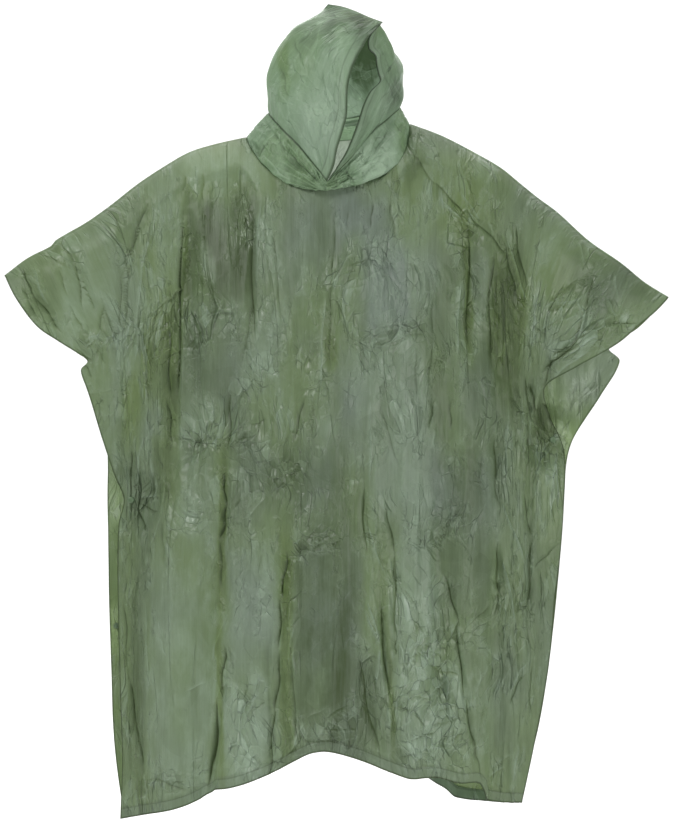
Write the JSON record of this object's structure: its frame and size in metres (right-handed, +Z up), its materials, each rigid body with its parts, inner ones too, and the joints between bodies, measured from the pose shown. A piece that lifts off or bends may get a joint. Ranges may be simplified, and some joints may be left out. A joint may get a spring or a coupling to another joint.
{
  "type": "rain poncho",
  "caption": "Hooded rain poncho of thin green film in its hollow worn shape, with a wide body open at neck, arms, sides and hem.",
  "frame": {"origin": "middle of the neck, on the line of the shoulders, where the wearer holds the garment up", "axes": "+Z up the wearer, -Y out of the chest, +X towards the viewer's right in the front view"},
  "size_m": [1.1587, 0.3647, 1.4248],
  "materials": {
    "film": "soft creased film, slightly see-through, half gloss",
    "hood_film": "soft creased film, lighter green, half gloss",
    "weld": "film welded double, half gloss",
    "stud": "moulded plastic"
  },
  "bodies": {
    "root": {"front_panel": "film", "back_panel": "film", "front_hem": "weld", "back_hem": "weld", "neck_band": "hood_film", "hood_left": "hood_film", "hood_right": "hood_film", "hood_hem_left": "weld", "hood_hem_right": "weld", "neck_tape": "weld", "stud_front_left": "stud", "stud_back_left": "stud", "stud_front_right": "stud", "stud_back_right": "stud", "stud_back_low": "stud"}
  },
  "joints": []
}
